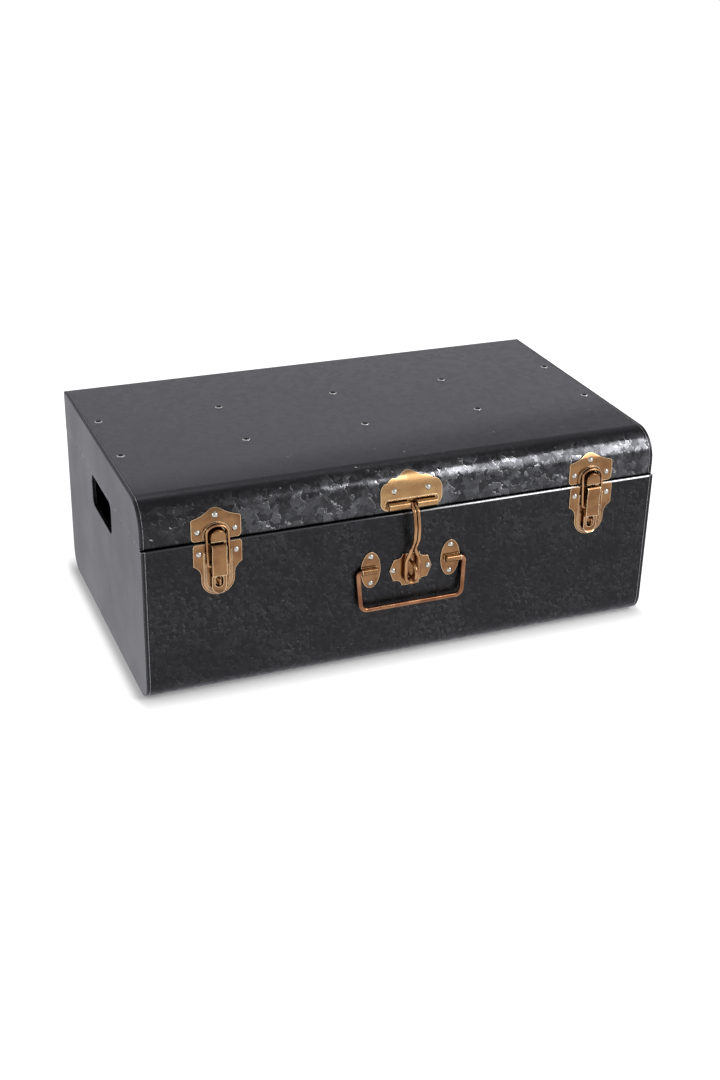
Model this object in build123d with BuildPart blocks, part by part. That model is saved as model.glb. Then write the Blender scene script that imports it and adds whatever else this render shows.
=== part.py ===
from build123d import *
from math import acos, asin, cos, degrees, radians, sin, sqrt
import os

os.makedirs("parts", exist_ok=True)

# A small sheet-steel trunk with a hinged lid. X runs along the length, -Y is the front,
# Z is up, and the origin is the middle of the underside. All sizes are in millimetres.

# Box
LENGTH = 550.0
DEPTH = 320.0
HEIGHT = 210.0
SEAM = 166.0                      # where the lid meets the body
SEAM_GAP = 0.4                    # half of the open line between rim and lid
SHEET = 0.8
BODY_CORNER = 22.0                # bends along the bottom, front and back
LID_ROLL = 30.0                   # the lid's rolled front edge
LID_SETBACK = 4.0                 # the lid's front stands behind the body's front
LID_OVERHANG = 1.2                # and its back stands behind the body's back
LID_BACK_FOLD = 2.0
PAN_FLANGE = 4.0                  # the ends are pans whose flange laps the wrapper
PAN_FLANGE_SHEET = 0.6
PAN_FOLD = 0.9
LAP_GAP = 0.05
GROOVE = 0.6                      # open line between a pan's flange and the wrapper
LEDGE_END = 7.1                   # the body's front rim turns in this far
UPSTAND = 7.0                     # and then stands up behind the lid's front
RIM_FOLD = 1.6                    # outside radius where the rim turns in
BODY_HEM = 9.0                    # height of the doubled edges
LID_HEM = 7.0

SIDES = {"left": -1, "right": 1}
HALF_LENGTH = LENGTH / 2
HALF_DEPTH = DEPTH / 2
RIM = SEAM - SEAM_GAP
LID_BOTTOM = SEAM + SEAM_GAP
BODY_FACE = HALF_DEPTH            # distances in front of the origin
LID_FACE = HALF_DEPTH - LID_SETBACK
LID_BACK = HALF_DEPTH + LID_OVERHANG
ROLL_Y = LID_ROLL - LID_FACE      # the roll's centre line
ROLL_Z = HEIGHT - LID_ROLL

# Hand hole in each end
HOLE_WIDTH = 82.0
HOLE_BOTTOM = 128.0
HOLE_TOP = 163.0
HOLE_CORNER = 8.0
HOLE_COLLAR = 3.0

# Lid stiffeners and their rivets
STIFFENER_ROWS = {"front": -32.0, "back": 62.0}
STIFFENER_LENGTH = 536.0
STIFFENER_WIDTH = 24.0
STIFFENER_DEPTH = 7.0
STIFFENER_RIVETS_X = [-260.0, -130.0, 0.0, 130.0, 260.0]

# Rivets: head radius, head height, shank radius, clenched end radius and height
HARDWARE_RIVET = dict(head_r=3.0, head_h=1.7, shank_r=1.45, tail_r=2.5, tail_h=0.9)
LID_RIVET = dict(head_r=3.9, head_h=1.9, shank_r=2.0, tail_r=3.2, tail_h=1.1)
RIVET_SLACK = 0.05
PLATE = 1.0                       # thickness of the pressed brass-finish plates
BODY_GRIP = PLATE + SHEET
LID_GRIP = BODY_GRIP + 0.15       # more where the sheet behind is curved
PLATE_EDGE = 0.35

# Draw latches
LATCH_X = 201.0
STRIKE_HALF = 24.7
STRIKE_BOTTOM = 166.8
STRIKE_SHOULDER = 188.8
STRIKE_TOP = 197.7
STRIKE_RIVETS = [(0.0, 191.0), (-18.3, 176.0), (18.3, 176.0)]
HOOD_HALF = 8.7
HOOD_CENTRE = 171.8               # centre of the hood's round top
HOOD_OUT = 8.5                    # how far the hood stands off its plate
HOOD_WALL = 1.0
HOOD_DRAFT = 7.0                  # degrees that its sides draw in
HORSESHOE_INNER = 10.7
HORSESHOE_OUTER = 13.2
HORSESHOE_HEIGHT = 1.7
LATCH_PLATE_TOP = 165.2
LATCH_PLATE_CORNER = 142.5
LATCH_PLATE_WAIST = 130.0
LATCH_PLATE_BOTTOM = 110.0
LATCH_PLATE_RIVETS = [(-18.3, 155.0), (18.3, 155.0)]
CHANNEL_INNER = 11.6              # the raised line pressed round the lever
CHANNEL_OUTER = 13.8
CHANNEL_HEIGHT = 1.1
LEVER_HALF = 7.3
LEVER_SHEET = 0.8
CHEEK_SHEET = 1.1
CHEEK_INNER = LEVER_HALF - LEVER_SHEET - 0.2 - CHEEK_SHEET
LEVER_OUT = 8.0                   # the lever's front, from the body's front
LEVER_PIVOT_OUT = 4.8
LEVER_PIVOT_Z = 162.0
LEVER_PIN_R = 1.1
LEVER_BEND = (7.0, 150.5)         # out and up: the face is dished along a crease here
LEVER_FOOT_Z = 133.2
LEVER_TAIL_END = 113.2
BAIL_WIRE_R = 1.2
BAIL_HALF = 10.8
BAIL_CORNER = 6.8                 # its arch: round corners and a flatter crown
BAIL_CROWN = 14.5
BAIL_PIVOT_OUT = 5.0
BAIL_PIVOT_Z = 143.0
BAIL_TOP_OUT = 4.2                # the bail's top, from the lid's front
BAIL_TOP_Z = 182.4
EYE_WIRE_R = 0.95
EYE_Z = (122.2, 129.0)
RUNNING = 0.07

# Hasp in the middle
HASP_HALF = 33.0
HASP_BOTTOM = 168.5
HASP_TOP = 204.6
HASP_RIVETS = [(-18.1, 188.0), (18.1, 188.0)]
BARREL_Z = 174.0
BARREL_OUT = 4.6
BARREL_R = 4.0
BARREL_HALF = 26.0
BARREL_GAP = 4.0
LINK_WIRE_R = 1.85
LINK_PITCH = 1.95
LINK_LOOP_HALF = 6.9
LINK_LOOP_Y = -165.6
LINK_LOOP_BOTTOM = 89.3
STAPLE_PLATE_Z = 103.5
STAPLE_RIVETS = [(-19.0, STAPLE_PLATE_Z), (19.0, STAPLE_PLATE_Z)]
STAPLE_WIRE_R = 1.8
STAPLE_LEGS = (95.0, 111.5)
STAPLE_OUT = 17.0

# Swing handle below the hasp
EAR_X = 43.3
EAR_Z = 108.4
EAR_HALF_WIDTH = 10.6
EAR_HALF_HEIGHT = 20.0
EAR_RIVET = 14.5
ROD_R = 2.6
ROD_OUT = 3.2
TUBE_WALL = 0.9
TUBE_INNER_X = 37.0
HANDLE_TOP_HALF = 58.0
HANDLE_FOOT_HALF = 55.1
HANDLE_DROP = 41.2
HANDLE_LEAN = 4.6                 # degrees that the handle stands out at its foot

# Hinges at the back
HINGE_X = {"left": -190.0, "middle": 0.0, "right": 190.0}
HINGE_LEAF = 1.2
HINGE_WIDTH = 38.0
HINGE_LEAF_REACH = 24.0
KNUCKLE_R = 2.9
KNUCKLE_LENGTH = 12.2
HINGE_PIN_R = 1.5
HINGE_Y = LID_BACK + KNUCKLE_R + 0.3
HINGE_Z = SEAM + 0.15
HINGE_RIVET = dict(x=12.0, drop=14.0)
STOP_TAB = 6.0
STOP_ANGLE = -10.0


def front(face, x=0.0, z=0.0):
    """A plane on the front at this distance from the middle, facing forward."""
    return Plane(origin=(x, -face, z), x_dir=(1, 0, 0), z_dir=(0, -1, 0))


def across(x):
    """A plane square to the length, with its own x along Y and its own y along Z."""
    return Plane(origin=(x, 0, 0), x_dir=(0, 1, 0), z_dir=(1, 0, 0))


def lid_skin(x, z):
    """A plane on the lid's front or its roll at height z, facing out."""
    tilt = asin(max(z - ROLL_Z, 0.0) / LID_ROLL)
    y = ROLL_Y - LID_ROLL * cos(tilt)
    return Plane(origin=(x, y, z), x_dir=(1, 0, 0), z_dir=(0, -cos(tilt), sin(tilt)))


def dome_middle(radius, height):
    """The point half way along a dome's profile, for a dome that is part of a sphere."""
    sphere = (radius**2 + height**2) / (2 * height)
    half_turn = asin(radius / sphere) / 2
    return sphere * sin(half_turn), height - sphere * (1 - cos(half_turn))


def rivet(grip, head_r, head_h, shank_r, tail_r, tail_h):
    """A round-head rivet: the head sits on Z = 0 and the shank goes down through the grip."""
    head_mid = dome_middle(head_r, head_h)
    tail_x, tail_drop = dome_middle(tail_r, tail_h)
    end = -grip - tail_h
    with BuildPart() as one:
        with BuildSketch(Plane.XZ):
            with BuildLine():
                ThreePointArc((0, head_h), head_mid, (head_r, 0))
                Polyline((head_r, 0), (shank_r, 0), (shank_r, -grip), (tail_r, -grip))
                ThreePointArc((tail_r, -grip), (tail_x, -grip - tail_drop), (0, end))
                Line((0, end), (0, head_h))
            make_face()
        revolve(axis=Axis.Z)
    return one.part


def rivet_group(planes, grip, size):
    """One node that holds a separate rivet on each plane."""
    one = rivet(grip, **size)
    with BuildPart() as group:
        for plane in planes:
            with Locations(plane.location):
                add(one)
    return group.part


def save_pair(part, x, name):
    """Two nodes, left and right of the middle, from one part drawn at the middle."""
    for side_name, side in SIDES.items():
        save(Pos(side * x, 0, 0) * part, f"{name}_{side_name}")


def save(part, name):
    part.label = name
    export_step(part, f"parts/{name}.step")


# ---------------------------------------------------------------------------
# Where the rivets go, so that every sheet they pass through gets its hole
# ---------------------------------------------------------------------------

latch_plate_spots = [
    (s * LATCH_X + x, z) for s in SIDES.values() for x, z in LATCH_PLATE_RIVETS
]
strike_spots = [(s * LATCH_X + x, z) for s in SIDES.values() for x, z in STRIKE_RIVETS]
ear_spots = [
    (s * EAR_X, EAR_Z + e * EAR_RIVET) for s in SIDES.values() for e in (-1, 1)
]
front_holes = latch_plate_spots + ear_spots + STAPLE_RIVETS
lid_front_holes = strike_spots + HASP_RIVETS
hinge_spots = [x + s * HINGE_RIVET["x"] for x in HINGE_X.values() for s in (-1, 1)]
HINGE_BODY_RIVET_Z = HINGE_Z - HINGE_RIVET["drop"]
HINGE_LID_RIVET_Z = HINGE_Z + HINGE_RIVET["drop"]
HARDWARE_HOLE = HARDWARE_RIVET["shank_r"] + RIVET_SLACK
LID_HOLE = LID_RIVET["shank_r"] + RIVET_SLACK


def drill(plane, radius):
    """A round hole through the sheet at this plane, inside the current part."""
    with Locations(plane.location):
        Cylinder(radius, 6.0, mode=Mode.SUBTRACT)


# ---------------------------------------------------------------------------
# Body: one wrapper sheet for front, bottom and back, and a pan at each end
# ---------------------------------------------------------------------------


def body_outline(inset=0.0, beyond=0.0):
    """The body's end shape, round at the two bottom corners."""
    half = HALF_DEPTH - inset
    top = RIM + beyond
    corner = BODY_CORNER - inset
    with BuildSketch() as shape:
        with BuildLine():
            Line((-half, top), (-half, BODY_CORNER))
            CenterArc((-half + corner, BODY_CORNER), corner, 180, 90)
            Line((-half + corner, inset), (half - corner, inset))
            CenterArc((half - corner, BODY_CORNER), corner, 270, 90)
            Line((half, BODY_CORNER), (half, top))
            Line((half, top), (-half, top))
        make_face()
    return shape.sketch


def band(outline, x_from, x_to, inset, thickness):
    """Sheet bent to an outline, between two stations along the length."""
    with BuildPart() as strip:
        with BuildSketch(across(x_from)):
            add(outline(inset))
            add(outline(inset + thickness, 1.0), mode=Mode.SUBTRACT)
        extrude(amount=x_to - x_from)
    return strip.part


def wrapper(outline):
    """A wrapper sheet whose two ends are set in to take the pans' flanges."""
    with BuildPart() as sheet:
        add(band(outline, -LAP_START, LAP_START, 0.0, SHEET))
        for side in (-1, 1):
            step = side * (LAP_START - SHEET)
            add(band(outline, step, side * LAP_START, 0.0, SHEET + LAP_INSET))
            add(band(outline, side * LAP_START, side * LAP_END, LAP_INSET, SHEET))
    return sheet.part


LAP_INSET = PAN_FLANGE_SHEET + LAP_GAP
LAP_START = HALF_LENGTH - PAN_FLANGE - GROOVE
LAP_END = HALF_LENGTH - SHEET - LAP_GAP

with BuildPart() as body_wrapper:
    add(wrapper(body_outline))
    # the rim turns in as a ledge and then stands up behind the lid's front
    for start, reach in ((0.0, LAP_START), (LAP_INSET, LAP_END)):
        with BuildSketch(across(0)):
            with BuildLine():
                Polyline(
                    (-BODY_FACE + start + SHEET / 2, RIM - SHEET),
                    (-BODY_FACE + start + SHEET / 2, RIM),
                    (-BODY_FACE + LEDGE_END - SHEET, RIM),
                    (-BODY_FACE + LEDGE_END - SHEET, RIM + UPSTAND),
                    (-BODY_FACE + LEDGE_END, RIM + UPSTAND),
                    (-BODY_FACE + LEDGE_END, RIM - SHEET),
                    close=True,
                )
            make_face()
        extrude(amount=reach, both=True)
    rolled = (
        body_wrapper.edges()
        .filter_by(Axis.X)
        .filter_by_position(Axis.Z, RIM - 0.01, RIM + 0.01)
        .filter_by_position(Axis.Y, -BODY_FACE - 0.01, -BODY_FACE + 0.01)
    )
    fillet(rolled, RIM_FOLD)
    # the back edge is folded double
    with BuildSketch(across(-LAP_START)):
        with Locations((BODY_FACE - 1.5 * SHEET, RIM - BODY_HEM / 2)):
            Rectangle(SHEET, BODY_HEM)
    extrude(amount=2 * LAP_START)
    for x, z in front_holes:
        drill(front(BODY_FACE, x, z), HARDWARE_HOLE)
    for z in STAPLE_LEGS:
        drill(front(BODY_FACE, 0, z), STAPLE_WIRE_R + RIVET_SLACK)
    for x in hinge_spots:
        drill(front(-BODY_FACE, x, HINGE_BODY_RIVET_Z), HARDWARE_HOLE)
save(body_wrapper.part, "body_wrapper")


def pan(outline, side, open_edge_z):
    """A flat end with a flange folded over the wrapper on all but its open edge."""
    outer = side * HALF_LENGTH
    with BuildPart() as dish:
        with BuildSketch(across(outer)):
            add(outline())
        extrude(amount=-side * PAN_FLANGE)
        with BuildSketch(across(outer - side * SHEET)):
            add(outline(PAN_FLANGE_SHEET, 1.0))
        extrude(amount=-side * PAN_FLANGE, mode=Mode.SUBTRACT)
        face_edges = dish.faces().sort_by(Axis.X)[-1 if side > 0 else 0].edges()
        fold = face_edges.filter_by(lambda e: abs(e.center().Z - open_edge_z) > 0.1)
        fillet(fold, PAN_FOLD)
    return dish.part


def hand_hole(grow=0.0):
    """The hand hole's outline, in its end's own plane."""
    with BuildSketch() as shape:
        with Locations((0, (HOLE_BOTTOM + HOLE_TOP) / 2)):
            RectangleRounded(
                HOLE_WIDTH + 2 * grow,
                HOLE_TOP - HOLE_BOTTOM + 2 * grow,
                HOLE_CORNER + grow,
            )
    return shape.sketch


def body_end(side):
    """The body's pan, with a collared hand hole and a joggled rim."""
    outer = side * HALF_LENGTH
    with BuildPart() as end:
        add(pan(body_outline, side, RIM))
        with BuildSketch(across(outer - side * SHEET)):
            add(hand_hole(SHEET))
        extrude(amount=-side * HOLE_COLLAR)
        with BuildSketch(across(outer)):
            add(hand_hole())
        extrude(amount=-side * (SHEET + HOLE_COLLAR), mode=Mode.SUBTRACT)
        end_face = end.faces().sort_by(Axis.X)[-1 if side > 0 else 0]
        fillet(end_face.inner_wires()[0].edges(), SHEET * 0.8)
        # the rim is joggled inward in front of and behind the hole, to guide the lid
        for sign in (-1, 1):
            with BuildSketch(across(outer - side * SHEET)):
                with Locations((sign * 100, RIM - 5.5)):
                    Rectangle(96, 11)
            extrude(amount=-side * (SHEET + 0.3))
            with BuildSketch(across(outer - side * (SHEET + 0.3))):
                with Locations((sign * 100, RIM + 2.5)):
                    Rectangle(96, 7)
            extrude(amount=-side * SHEET)
    return end.part


for name, side in SIDES.items():
    save(body_end(side), f"body_end_{name}")

# ---------------------------------------------------------------------------
# Lid: a wrapper rolled at the front, a pan at each end, two stiffeners
# ---------------------------------------------------------------------------


def lid_outline(inset=0.0, beyond=0.0):
    """The lid's end shape: rolled front, flat top, tight fold at the back."""
    front_y = -LID_FACE + inset
    back_y = LID_BACK - inset
    top = HEIGHT - inset
    bottom = LID_BOTTOM - beyond
    fold = LID_BACK_FOLD - inset
    fold_z = HEIGHT - LID_BACK_FOLD
    with BuildSketch() as shape:
        with BuildLine():
            Line((front_y, bottom), (front_y, ROLL_Z))
            CenterArc((ROLL_Y, ROLL_Z), LID_ROLL - inset, 90, 90)
            Line((ROLL_Y, top), (back_y - fold, top))
            CenterArc((back_y - fold, fold_z), fold, 0, 90)
            Line((back_y, fold_z), (back_y, bottom))
            Line((back_y, bottom), (front_y, bottom))
        make_face()
    return shape.sketch


with BuildPart() as lid_wrapper:
    add(wrapper(lid_outline))
    # both long edges are folded double
    with BuildSketch(across(-LAP_START)):
        for y in (-LID_FACE + 1.5 * SHEET, LID_BACK - 1.5 * SHEET):
            with Locations((y, LID_BOTTOM + LID_HEM / 2)):
                Rectangle(SHEET, LID_HEM)
    extrude(amount=2 * LAP_START)
    for x, z in lid_front_holes:
        drill(lid_skin(x, z), HARDWARE_HOLE)
    for y in STIFFENER_ROWS.values():
        for x in STIFFENER_RIVETS_X:
            drill(Plane(origin=(x, y, HEIGHT)), LID_HOLE)
    for x in hinge_spots:
        drill(front(-LID_BACK, x, HINGE_LID_RIVET_Z), HARDWARE_HOLE)
save(lid_wrapper.part, "lid_wrapper")


for name, side in SIDES.items():
    save(pan(lid_outline, side, LID_BOTTOM), f"lid_end_{name}")

for name, y in STIFFENER_ROWS.items():
    under = HEIGHT - SHEET
    with BuildPart() as stiffener:
        with BuildSketch(across(-STIFFENER_LENGTH / 2)):
            with Locations((y, under - STIFFENER_DEPTH / 2)):
                Rectangle(STIFFENER_WIDTH, STIFFENER_DEPTH)
            with Locations((y, under - STIFFENER_DEPTH / 2 - SHEET)):
                Rectangle(
                    STIFFENER_WIDTH - 2 * SHEET, STIFFENER_DEPTH, mode=Mode.SUBTRACT
                )
        extrude(amount=STIFFENER_LENGTH)
        for x in STIFFENER_RIVETS_X:
            drill(Plane(origin=(x, y, HEIGHT)), LID_HOLE)
    save(stiffener.part, f"lid_stiffener_{name}")
    heads = [Plane(origin=(x, y, HEIGHT)) for x in STIFFENER_RIVETS_X]
    save(rivet_group(heads, 2 * SHEET, LID_RIVET), f"lid_rivets_{name}")

# ---------------------------------------------------------------------------
# Draw latches: strike plate on the lid, lever plate on the body
# ---------------------------------------------------------------------------


def mirrored(draw_right_half):
    """A sketch made of a right-hand half outline and its mirror image."""
    with BuildSketch() as shape:
        with BuildLine():
            draw_right_half()
            mirror(about=Plane.YZ)
        make_face()
    return shape.sketch


def lid_plate(half, bottom, outline):
    """Plate that lies on the lid's front, follows its roll and has this outline."""
    roll_top = ROLL_Z + LID_ROLL
    with BuildPart() as blank:
        with BuildSketch(across(-half)):
            with BuildLine():
                Line((-LID_FACE, bottom), (-LID_FACE - PLATE, bottom))
                Line((-LID_FACE - PLATE, bottom), (-LID_FACE - PLATE, ROLL_Z))
                CenterArc((ROLL_Y, ROLL_Z), LID_ROLL + PLATE, 90, 90)
                Line((ROLL_Y, roll_top + PLATE), (ROLL_Y, roll_top))
                CenterArc((ROLL_Y, ROLL_Z), LID_ROLL, 90, 90)
                Line((-LID_FACE, ROLL_Z), (-LID_FACE, bottom))
            make_face()
        extrude(amount=2 * half)
        with BuildSketch(front(BODY_FACE + 20)):
            add(outline)
        extrude(amount=-60, mode=Mode.INTERSECT)
    return blank.part


def strike_half():
    dome = (9.0, STRIKE_TOP - 3.4)
    shoulder = (STRIKE_HALF - 1.6, STRIKE_SHOULDER + 0.5)
    Spline((0, STRIKE_TOP), dome, shoulder, tangents=[(1, 0), (1, -0.22)])
    ThreePointArc(
        shoulder,
        (STRIKE_HALF - 0.4, STRIKE_SHOULDER - 0.3),
        (STRIKE_HALF, STRIKE_SHOULDER - 1.6),
    )
    Line((STRIKE_HALF, STRIKE_SHOULDER - 1.6), (STRIKE_HALF, STRIKE_BOTTOM + 4))
    CenterArc((STRIKE_HALF - 4, STRIKE_BOTTOM + 4), 4, 270, 90)
    Line((STRIKE_HALF - 4, STRIKE_BOTTOM), (0, STRIKE_BOTTOM))


def arch(half, bottom):
    """A round-topped shape about the hood's centre."""
    with BuildSketch() as shape:
        with BuildLine():
            Line((-half, bottom), (-half, HOOD_CENTRE))
            CenterArc((0, HOOD_CENTRE), half, 0, 180)
            Line((half, HOOD_CENTRE), (half, bottom))
            Line((half, bottom), (-half, bottom))
        make_face()
    return shape.sketch


with BuildPart() as strike:
    plate_front = LID_FACE + PLATE
    add(lid_plate(STRIKE_HALF + 2, STRIKE_BOTTOM - 2, mirrored(strike_half)))
    # horseshoe pressed up round the hood
    with BuildSketch(front(plate_front - 0.9 * PLATE)):
        add(arch(HORSESHOE_OUTER, STRIKE_BOTTOM))
        add(arch(HORSESHOE_INNER, STRIKE_BOTTOM - 1), mode=Mode.SUBTRACT)
    extrude(amount=HORSESHOE_HEIGHT + 0.9 * PLATE)
    fillet(strike.faces().sort_by(Axis.Y)[0].edges(), 0.6)
    # hood that the bail hooks over, open below and behind
    with BuildSketch(front(plate_front - 0.5 * PLATE)):
        add(arch(HOOD_HALF, STRIKE_BOTTOM))
    extrude(amount=HOOD_OUT + 0.5 * PLATE, taper=HOOD_DRAFT)
    nose = strike.faces().sort_by(Axis.Y)[0].edges()
    fillet(nose.sort_by(Axis.Z)[1:], 1.4)
    with BuildSketch(front(LID_FACE - 1)):
        add(arch(HOOD_HALF - HOOD_WALL, STRIKE_BOTTOM - 1))
    hollow = HOOD_OUT + PLATE - HOOD_WALL + 1
    extrude(amount=hollow, taper=HOOD_DRAFT, mode=Mode.SUBTRACT)
    for x, z in STRIKE_RIVETS:
        drill(lid_skin(x, z), HARDWARE_HOLE)
save_pair(strike.part, LATCH_X, "latch_strike")
strike_planes = [lid_skin(x, z).offset(PLATE) for x, z in strike_spots]
save(rivet_group(strike_planes, LID_GRIP, HARDWARE_RIVET), "latch_strike_rivets")


def latch_plate_half():
    top_corner = STRIKE_HALF - 0.4
    corner = (top_corner, LATCH_PLATE_CORNER)
    foot_r = 16.8
    waist = (foot_r, LATCH_PLATE_WAIST)
    foot = (foot_r, LATCH_PLATE_BOTTOM + foot_r)
    Line((0, LATCH_PLATE_TOP), (top_corner - 3, LATCH_PLATE_TOP))
    CenterArc((top_corner - 3, LATCH_PLATE_TOP - 3), 3, 0, 90)
    Line((top_corner, LATCH_PLATE_TOP - 3), corner)
    Spline(corner, (19.3, 138.4), waist, tangents=[(-1, -0.55), (0, -1)])
    Line(waist, foot)
    CenterArc((0, foot[1]), foot_r, 270, 90)


with BuildPart() as latch_plate:
    plate_front = BODY_FACE + PLATE
    with BuildSketch(front(BODY_FACE)):
        add(mirrored(latch_plate_half))
    extrude(amount=PLATE)
    fillet(latch_plate.faces().sort_by(Axis.Y)[0].edges(), PLATE_EDGE)
    # line pressed up round the lever, round at the bottom and open above
    with BuildSketch(front(plate_front - 0.5 * PLATE)):
        with Locations((0, 142)):
            SlotCenterToCenter(32, 2 * CHANNEL_OUTER, rotation=90)
            SlotCenterToCenter(32, 2 * CHANNEL_INNER, rotation=90, mode=Mode.SUBTRACT)
        with Locations((0, 166)):
            Rectangle(40, 20, mode=Mode.SUBTRACT)
    extrude(amount=CHANNEL_HEIGHT + 0.5 * PLATE)
    fillet(latch_plate.faces().sort_by(Axis.Y)[0].edges(), 0.5)
    # two cheeks that carry the lever's pin, cut away behind it for the lever's roll
    pin_y = -BODY_FACE - LEVER_PIVOT_OUT
    foot_y = -plate_front + 0.5 * PLATE
    for side in (-1, 1):
        with BuildSketch(across(side * CHEEK_INNER)):
            with BuildLine():
                Polyline(
                    (pin_y - 1.9, LEVER_PIVOT_Z),
                    (pin_y - 1.9, LEVER_PIVOT_Z - 3.5),
                    (foot_y, LEVER_PIVOT_Z - 9.0),
                    (foot_y, LEVER_PIVOT_Z - 4.2),
                    (pin_y + 0.9, LEVER_PIVOT_Z - 2.3),
                    (pin_y + 0.9, LEVER_PIVOT_Z),
                    close=True,
                )
            make_face()
            with Locations((pin_y, LEVER_PIVOT_Z)):
                Circle(2.1)
                Circle(LEVER_PIN_R, mode=Mode.SUBTRACT)
        extrude(amount=side * CHEEK_SHEET)
    for x, z in LATCH_PLATE_RIVETS:
        drill(front(BODY_FACE, x, z), HARDWARE_HOLE)
save_pair(latch_plate.part, LATCH_X, "latch_plate")
plate_planes = [front(BODY_FACE + PLATE, x, z) for x, z in latch_plate_spots]
save(rivet_group(plate_planes, BODY_GRIP, HARDWARE_RIVET), "latch_plate_rivets")

with BuildPart() as latch_pins:
    for side in (-1, 1):
        with BuildSketch(across(side * LATCH_X)):
            with Locations((-BODY_FACE - LEVER_PIVOT_OUT, LEVER_PIVOT_Z)):
                Circle(LEVER_PIN_R)
        extrude(amount=LEVER_HALF, both=True)
save(latch_pins.part, "latch_pins")

with BuildPart() as padlock_eyes:
    for side in (-1, 1):
        x = side * LATCH_X
        eye_y = -BODY_FACE - PLATE
        crown = (EYE_Z[1] - EYE_Z[0]) / 2
        straight = eye_y - 3.6
        with BuildLine() as eye:
            Line((x, eye_y, EYE_Z[0]), (x, straight, EYE_Z[0]))
            ThreePointArc(
                (x, straight, EYE_Z[0]),
                (x, straight - crown, EYE_Z[0] + crown),
                (x, straight, EYE_Z[1]),
            )
            Line((x, straight, EYE_Z[1]), (x, eye_y, EYE_Z[1]))
        with BuildSketch(front(-eye_y, x, EYE_Z[0])):
            Circle(EYE_WIRE_R)
        sweep(path=eye.wires()[0])
save(padlock_eyes.part, "padlock_eyes")


def out(distance):
    """Y of a point this far in front of the body's front."""
    return -BODY_FACE - distance


# pressed lever: rolled over its pin, boxed at the sides, tail with a hole for the eye
lever_mid = LEVER_OUT - LEVER_SHEET / 2
lever_roll = lever_mid - LEVER_PIVOT_OUT


def on_roll(degrees_up):
    """A point of the lever's rolled top, this far round from its front."""
    turn = radians(degrees_up)
    y = out(LEVER_PIVOT_OUT + lever_roll * cos(turn))
    return (y, LEVER_PIVOT_Z + lever_roll * sin(turn))


with BuildPart() as lever:
    bend = (out(LEVER_BEND[0]), LEVER_BEND[1])
    foot = (out(lever_mid), LEVER_FOOT_Z)
    lip = (out(4.1), LEVER_TAIL_END + 5.6)
    tip = (out(6.4), LEVER_TAIL_END + 0.2)
    with BuildSketch(Plane.YZ):
        with BuildLine():
            ThreePointArc(on_roll(95), on_roll(47.5), on_roll(0))
            Polyline(on_roll(0), bend, foot, (out(4.5), LEVER_FOOT_Z - 1.8), lip)
            ThreePointArc(lip, (out(4.7), LEVER_TAIL_END + 2.2), tip)
        trace(line_width=LEVER_SHEET)
    extrude(amount=LEVER_HALF, both=True)
    # boxed sides
    for side in (-1, 1):
        with BuildSketch(across(side * (LEVER_HALF - LEVER_SHEET))):
            with BuildLine():
                Polyline(
                    on_roll(0),
                    bend,
                    foot,
                    (out(2.6), LEVER_FOOT_Z + 3.5),
                    (out(2.2), LEVER_PIVOT_Z),
                    close=True,
                )
            make_face()
            with Locations((out(LEVER_PIVOT_OUT), LEVER_PIVOT_Z)):
                Circle(LEVER_OUT - LEVER_PIVOT_OUT)
        extrude(amount=side * LEVER_SHEET)
    # round end of the tail
    with BuildSketch(front(BODY_FACE)):
        with Locations((0, LEVER_TAIL_END + LEVER_HALF / 2 - 1)):
            Rectangle(2 * LEVER_HALF + 2, LEVER_HALF + 2)
        with Locations((0, LEVER_TAIL_END + LEVER_HALF)):
            Circle(LEVER_HALF, mode=Mode.SUBTRACT)
    extrude(amount=12, mode=Mode.SUBTRACT)
    # hole that goes over the padlock eye
    with BuildSketch(front(BODY_FACE)):
        with Locations((0, (EYE_Z[0] + EYE_Z[1]) / 2)):
            SlotCenterToCenter(4.0, 8.4, rotation=90)
    extrude(amount=6.2, mode=Mode.SUBTRACT)
    for y, z, r in (
        (out(LEVER_PIVOT_OUT), LEVER_PIVOT_Z, LEVER_PIN_R + RUNNING),
        (out(BAIL_PIVOT_OUT), BAIL_PIVOT_Z, BAIL_WIRE_R + RUNNING),
    ):
        with BuildSketch(Plane.YZ):
            with Locations((y, z)):
                Circle(r)
        extrude(amount=LEVER_HALF + 1, both=True, mode=Mode.SUBTRACT)
save_pair(lever.part, LATCH_X, "latch_lever")

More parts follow.
